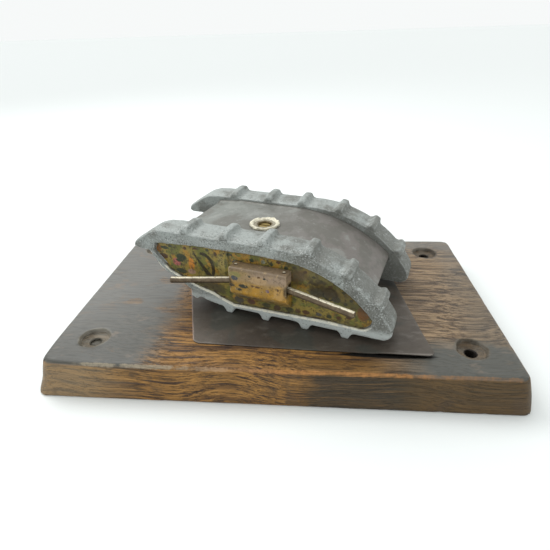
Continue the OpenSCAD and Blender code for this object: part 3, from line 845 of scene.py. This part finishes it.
def hull_roof(material):
    """The roof sheet, with the soldered fillets that run up to the tracks."""
    node = "hull_roof"
    xs = np.linspace(ROOF_FRONT_X, HULL_TAIL_X, 100)
    ys = np.concatenate([np.linspace(-TRACK_IN, -TRACK_IN + 3, 7)[:-1],
                         np.linspace(-TRACK_IN + 3, TRACK_IN - 3, 32),
                         np.linspace(TRACK_IN - 3, TRACK_IN, 7)[1:]])
    top, low = [], []
    for x, y in itertools.product(xs, ys):
        edge = (abs(y) - (TRACK_IN - 2.6)) / 2.6
        lift = 0.9 * max(0.0, edge) ** 2
        wave = 0.22 * noise.noise(Vector((x / 16, y / 12, 3.0)))
        dent = 0.05 * noise.noise(Vector((x / 3.5, y / 3.5, 7.0)))
        top.append((x, y, roof_height(x) + lift + wave + dent - 0.1))
        low.append((x, y, roof_height(x) - 1.2))
    middles = itertools.product(enumerate((xs[:-1] + xs[1:]) / 2),
                                enumerate((ys[:-1] + ys[1:]) / 2))
    cells = {(i, j) for (i, x), (j, y) in middles
             if math.hypot(x - SCREW_X, y - SCREW_Y) >= ROOF_HOLE_R}
    faces = sheet_faces(len(xs), len(ys), cells)
    # Points that no face uses, inside the hole, are left out
    used = sorted({k for face in faces for k in face})
    index = {k: n for n, k in enumerate(used)}
    points = top + low
    verts = [points[k] for k in used]
    faces = [tuple(index[k] for k in face) for face in faces]
    piece = add_object("roof_sheet", verts, faces, TANK, material)
    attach(piece, "tank")
    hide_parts(node)


def roof_ring(material):
    """The pale ragged ferrule round the mounting screw."""
    bore, spigot = 2.05, 3.9
    pocket_r, pocket_z = 3.2, -2.1
    rim = [(-0.5, -0.4), (-0.15, 0.15), (-0.15, 0.7), (-0.5, 1.1), (-1.0, 1.15), (-1.5, 0.9),
           (-1.8, 0.5), (-2.8, 0.35)]
    profile = [(bore, pocket_z), (bore, -3.5), (spigot, -3.5), (spigot, -0.2)]
    profile += [(FERRULE_R + out, z) for out, z in rim]
    profile += [(pocket_r + 0.4, 0.3), (pocket_r, 0.0), (pocket_r, -1.2), (pocket_r, pocket_z)]
    verts, faces = lathe(profile, 64, 0.8, 4)
    for k, (x, y, z) in enumerate(verts):
        r = math.hypot(x, y)
        if r < bore + 0.4:
            x, y = x * bore / r * 1.02, y * bore / r * 1.02
        shrink = min(1.0, (FERRULE_R - 0.02) / r)
        verts[k] = (x * shrink + SCREW_X, y * shrink + SCREW_Y, min(z, FERRULE_H - 0.02) + ROOF_Z)
    piece = add_object("roof_ring", verts, faces, TANK, material)
    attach(piece, "tank")
    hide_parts("roof_ferrule")


# ---------------------------- sponsons and guns


def sponson(side, material):
    """A gun box: the CAD shape with soft edges and a slightly uneven skin."""
    node = f"{side}_sponson"
    mesh = remeshed(node, TANK, 0.33, 26)
    co = per_point(mesh, "co")
    rough = 0.1 * (lumps(co, 4.0, 5) - 0.6) + 0.05 * (lumps(co, 1.3, 6) - 0.5)
    set_points(mesh, co + per_point(mesh, "normal") * rough[:, None])
    piece = finish_object(f"{side}_gun_box", mesh, TANK, material)
    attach(piece, "tank")
    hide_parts(node)


def barrel(side, end, material):
    """A gun: a turned rod with a worn muzzle, and the eye that it swings on."""
    shape = [(0.0, 1.0), (0.9, 1.0), (0.98, 2.5), (0.97, 8.0), (0.96, BARREL_L / 2)]
    muzzle = [(0.97, 3.0), (0.98, 0.5), (0.9, 0.12), (0.72, 0.0), (0.52, 0.1), (0.45, 0.6),
              (0.44, 8.0), (0.0, 8.0)]
    shape += [(part, BARREL_L - back) for part, back in muzzle]
    bm = bmesh.new()
    rings = []
    for part, z in shape:
        radius = part * BARREL_R
        angles = np.arange(GUN_SIDES if radius else 1) * 2 * math.pi / GUN_SIDES
        rings.append([bm.verts.new((radius * math.cos(a), radius * math.sin(a), z))
                      for a in angles])
    joined_rings(bm, rings)
    bm.transform(Matrix.Rotation(math.pi / 2 + DROOP[end], 4, "Y"))
    edge = 0.25
    foot = -EYE_H / 2
    half = [(EYE_BORE, foot + edge), (EYE_BORE + edge, foot), (EYE_R - edge, foot),
            (EYE_R, foot + edge)]
    eye = half + [(radius, -z) for radius, z in reversed(half)]
    verts, faces = lathe(eye, GUN_SIDES)
    made = [bm.verts.new(v) for v in verts]
    for f in faces:
        bm.faces.new([made[k] for k in f])
    turn = SPLAY if end == "rear" else math.pi - SPLAY
    along = SPONSON_L / 2 - PIVOT_IN
    pivot_x = SPONSON_X + (along if end == "rear" else -along)
    bm.transform(Matrix.Translation((pivot_x, PIVOT_Y, BARREL_Z)) @ Matrix.Rotation(turn, 4, "Z"))
    if side == "left":
        bm.transform(Matrix.Diagonal((1, -1, 1, 1)))
    piece = finish_object(f"{side}_{end}_gun_tube", mesh_from(bm), TANK, material)
    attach(piece, f"{side}_{end}_gun")
    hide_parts(f"{side}_{end}_barrel")


# ---------------------------- base


def axis_steps(half, coarse):
    """Positions from -half to half, close together near both ends."""
    edge = [0.0, 0.4, 0.8, 1.2, 1.7, 2.3, 3.0, 3.8, 4.8, 6.0]
    inner = np.arange(-half + edge[-1], half - edge[-1], coarse)[1:]
    return np.concatenate([[-half + e for e in edge], inner, [half - e for e in reversed(edge)]])


def onto_arc(a, b):
    """A point near a square corner, drawn in to the quarter circle inside it."""
    scale = max(a, b) / math.hypot(a, b)
    return a * scale, b * scale


def rounded_plan(x, y, half_x, half_y, r):
    """Moves a point of a rectangle so that its corners are round."""
    a = abs(x) - (half_x - r)
    b = abs(y) - (half_y - r)
    if a <= 0 or b <= 0:
        return x, y
    a, b = onto_arc(a, b)
    return math.copysign(half_x - r + a, x), math.copysign(half_y - r + b, y)


def worn_edge(x, y, z, half_x, half_y):
    """Rounds a point of the block over its long and short edges, more where it is worn."""
    side_x, side_y = half_x - abs(x), half_y - abs(y)
    side = min(side_x, side_y)
    end = min(z, BOARD_T - z)
    wear = 0.5 + 0.5 * noise.noise(Vector((x / 22, y / 22, 2.0)))
    chip = max(0.0, noise.noise(Vector((x / 4.5, y / 4.5, z / 6))) - 0.25)
    r = (1.9 if z > BOARD_T / 2 else 0.5) + 0.9 * wear + 1.2 * chip
    if side >= r or end >= r:
        return x, y, z
    arc_side, arc_end = onto_arc(r - side, r - end)
    pull_side, pull_end = r - side - arc_side, r - end - arc_end
    if side_x < side_y:
        x -= math.copysign(pull_side, x)
    else:
        y -= math.copysign(pull_side, y)
    return x, y, z + (pull_end if z < BOARD_T / 2 else -pull_end)


def oak_board(material):
    """The board: sloping, slightly full sides, worn upper edges and ragged screw holes."""
    half_x, half_y = BOARD_L / 2, BOARD_D / 2
    xs = axis_steps(half_x, 2.0)
    ys = axis_steps(half_y, 2.0)
    zs = np.array([0.0, 0.4, 0.8, 1.3, 2.2, 3.6, 5.4, 7.4, 9.4, 11.2, 12.8, 13.9, 14.7, 15.3,
                   15.8, 16.2, 16.6, 16.9, 17.2]) * BOARD_T / 17.2
    bm = bmesh.new()
    grid = {}

    def vert(i, j, k):
        key = (i, j, k)
        if key not in grid:
            grid[key] = bm.verts.new((xs[i], ys[j], zs[k]))
        return grid[key]

    # Each pair of opposite faces, as cells (a, b) along the two other axes
    last = (len(xs) - 1, len(ys) - 1, len(zs) - 1)
    for axis in range(3):
        along, up = (axis + 1) % 3, (axis + 2) % 3
        for a, b in itertools.product(range(last[along]), range(last[up])):
            for at in (0, last[axis]):
                ring = []
                for p, q in ((a, b), (a + 1, b), (a + 1, b + 1), (a, b + 1)):
                    place = {axis: at, along: p, up: q}
                    ring.append(vert(place[0], place[1], place[2]))
                bm.faces.new(ring if at else [ring[0]] + ring[:0:-1])
    for v in bm.verts:
        x, y, z = v.co
        on_side = min(half_x - abs(x), half_y - abs(y)) < 0.01
        x, y, z = worn_edge(x, y, z, half_x, half_y)
        x, y = rounded_plan(x, y, half_x, half_y, 5.0)
        hollow = 0.1 * (1 + noise.noise(Vector((x / 45, y / 18, z / 18))))
        # The sides lean in towards the top, with a slight belly
        lean = FLARE * (z / BOARD_T) - 0.35 * math.sin(math.pi * z / BOARD_T)
        lean = max(lean, 0.0) + (hollow if on_side else 0.0)
        x, y = x * (1 - lean / half_x), y * (1 - lean / half_y)
        # The front left corner is worn further back than the others
        worn = math.exp(-((x + half_x) ** 2 + (y + half_y) ** 2) / 180) * smoothstep(z / 8)
        x, y = x + 1.1 * float(worn), y + 1.3 * float(worn)
        if z > BOARD_T - 0.1 and not on_side:
            z -= hollow * 0.6
        v.co = (x, y, z)
    board = link_object("board", mesh_from(bm))
    cutters = []
    for k, (sx, sy) in enumerate([(-1, -1), (1, -1), (-1, 1), (1, 1)]):
        # The front left hole is choked with dirt just below its counterbore
        bottom = BOARD_T - 3.8 if k == 0 else -2.0
        profile = [(2.5, bottom)] + [(r, BOARD_T + up) for r, up in (
            (2.5, -3.0), (2.9, -2.7), (5.4, -2.35), (6.3, -1.7), (6.5, -0.7), (7.0, -0.15),
            (7.6, 0.3), (7.6, 2.0))]
        cutter = bmesh.new()
        rings = []
        for r, z in profile:
            ring = []
            for i in range(HOLE_SIDES):
                a = 2 * math.pi * i / HOLE_SIDES
                ragged = (0.75 if r > 3 else 0.45) * noise.noise(
                    Vector((2.2 * math.cos(a), 2.2 * math.sin(a), z * 0.15 + 9 * k)))
                away = r + ragged
                ring.append(cutter.verts.new((away * math.cos(a), away * math.sin(a), z)))
            rings.append(ring)
        joined_rings(cutter, rings)
        cutter.faces.new(rings[0])
        cutter.faces.new(rings[-1])
        bmesh.ops.recalc_face_normals(cutter, faces=cutter.faces)
        cutter.transform(Matrix.Translation((sx * HOLE_X, sy * HOLE_Y, 0)))
        tool_object = link_object("cutter", mesh_from(cutter))
        modify(board, "BOOLEAN", operation="DIFFERENCE", solver="EXACT", object=tool_object)
        cutters.append(tool_object)
    mesh = applied(board)
    for tool_object in cutters:
        bpy.data.objects.remove(tool_object)
    piece = finish_object("oak_board", mesh, BOARD, material)
    piece.data.set_sharp_from_angle(angle=SHARP)
    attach(piece, "base")
    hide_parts("oak_base")


def metal_plate(material):
    """The hand-cut plate, its front right corner lifted off the board."""
    left_front, right_front, right_rear, left_rear = (
        Vector(corner) for corner in ((-38.0, -48.1), (68.6, -53.4), (58.3, 33.5), (-60.3, 33.5)))
    steps = axis_steps(50.0, 2.5) / 100.0 + 0.5
    corner_r = 0.03
    swivel = TANK @ Vector((SCREW_X, SCREW_Y, 0)) / MM
    top, low = [], []
    for v, u in itertools.product(steps, repeat=2):
        a, b = rounded_plan(u - 0.5, v - 0.5, 0.5, 0.5, corner_r)
        a, b = a + 0.5, b + 0.5
        x, y = left_front.lerp(right_front, a).lerp(left_rear.lerp(right_rear, a), b)
        near = smoothstep((-34.0 - y) / 19.0)
        # Where the tank's cleats sweep as it swivels, the plate stays below them
        reach = math.hypot(x - swivel.x, y - swivel.y)
        lift = min(PLATE_LIFT * smoothstep((x - 6.0) / 55.0) * near,
                   0.03 + 0.42 * near + 1.2 * smoothstep((reach - SWEEP_R) / 9.0))
        sag = 0.05 * (noise.noise(Vector((x / 25, y / 25, 5.0))) - 0.8)
        edge = min(u, v, 1 - u, 1 - v) * 100
        soft = 0.1 * max(0.0, 1 - edge / 0.8) ** 2
        thick = PLATE_T - 0.45 * near
        top.append((x, y, BOARD_T + float(lift) + float(thick) + sag - soft))
        low.append((x, y, BOARD_T + float(lift) + 0.02))
    n = len(steps)
    cells = set(itertools.product(range(n - 1), repeat=2))
    piece = add_object("metal_plate", top + low, sheet_faces(n, n, cells), BOARD, material)
    piece.data.set_sharp_from_angle(angle=SHARP)
    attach(piece, "base")
    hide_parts("base_plate")


def refinish(node, material, bevel=0.15):
    """A CAD node keeps its shape and gets a finish and slightly broken edges."""
    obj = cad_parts[node]
    obj.data.materials.clear()
    obj.data.materials.append(material)
    modify(obj, "WELD", merge_threshold=0.00001)
    modify(obj, "BEVEL", width=bevel * MM, segments=2, limit_method="ANGLE",
           angle_limit=math.radians(40))


# ---------------------------- build

castings = cast_metal()
sheet = hull_metal()
panel_paint = camouflage()
box_paint = sponson_paint()
brass = old_brass()
steel = plain_steel()
wood = oak()

oak_board(wood)
metal_plate(dark_plate())
for side in ("left", "right"):
    track_casting(side, castings)
    sponson(side, box_paint)
    refinish(f"{side}_side_panel", panel_paint)
    for end in ("front", "rear"):
        barrel(side, end, brass)
        refinish(f"{side}_{end}_pin", brass, 0.1)
hull_roof(sheet)
roof_ring(tinned_ring())
for node in ("nose_plate", "tail_plate", "belly_plate"):
    refinish(node, sheet)
for node in ("front_tie_rod", "rear_tie_rod"):
    refinish(node, steel)
refinish("mounting_screw", dark_screw())

# ---------------------------- stage, light, camera


def floor():
    """The white paper that the board stands on."""
    mesh = bpy.data.meshes.new("floor")
    size = 60.0
    mesh.from_pydata([(-size, -size, 0), (size, -size, 0), (size, size, 0), (-size, size, 0)],
                     [], [(0, 1, 2, 3)])
    paper = bpy.data.materials.new("paper")
    paper.use_nodes = True
    surface = paper.node_tree.nodes["Principled BSDF"]
    surface.inputs["Base Color"].default_value = (0.82, 0.85, 0.843, 1)
    surface.inputs["Roughness"].default_value = 0.7
    mesh.materials.append(paper)
    obj = link_object("floor", mesh)


def studio():
    """A white room: a bright background, a soft lamp at the back left and a faint sky."""
    world = bpy.data.worlds.new("studio")
    world.use_nodes = True
    background = world.node_tree.nodes["Background"]
    background.inputs["Color"].default_value = (0.98, 1.0, 0.995, 1)
    background.inputs["Strength"].default_value = 0.95
    bpy.context.scene.world = world
    disk = bpy.data.lights.new("key", "AREA")
    disk.shape = "DISK"
    disk.size = 0.5
    disk.energy = 2.6
    place, aim = Vector((-0.42, 0.3, 0.62)), Vector((-0.05, 0, 0.03))
    key = link_object("key", disk)
    key.location = place
    key.rotation_euler = (aim - place).to_track_quat("-Z", "Y").to_euler()
    sun = bpy.data.lights.new("sky", "SUN")
    sun.energy = 0.5
    sun.angle = math.radians(40)
    link_object("sky", sun).rotation_euler = (math.radians(-24), math.radians(-20), 0)


def camera():
    """The view: a pinhole camera given by its place, its angles and its lens."""
    yaw, pitch, roll = math.radians(-5.5), math.radians(30.19), math.radians(1.78)
    ahead = Vector((math.sin(yaw) * math.cos(pitch), math.cos(yaw) * math.cos(pitch),
                    -math.sin(pitch)))
    level = Vector((math.cos(yaw), -math.sin(yaw), 0))
    down = ahead.cross(level)
    right = level * math.cos(roll) + down * math.sin(roll)
    down = down * math.cos(roll) - level * math.sin(roll)
    turn = Matrix((right, -down, -ahead)).transposed()
    data = bpy.data.cameras.new("camera")
    data.sensor_width = 36.0
    data.lens = 27.39
    data.clip_start = 0.005
    obj = link_object("camera", data)
    obj.matrix_world = Matrix.Translation((0.0147, -0.1943, 0.1396)) @ turn.to_4x4()
    bpy.context.scene.camera = obj


floor()
studio()
camera()
bpy.context.scene.view_settings.view_transform = "Standard"
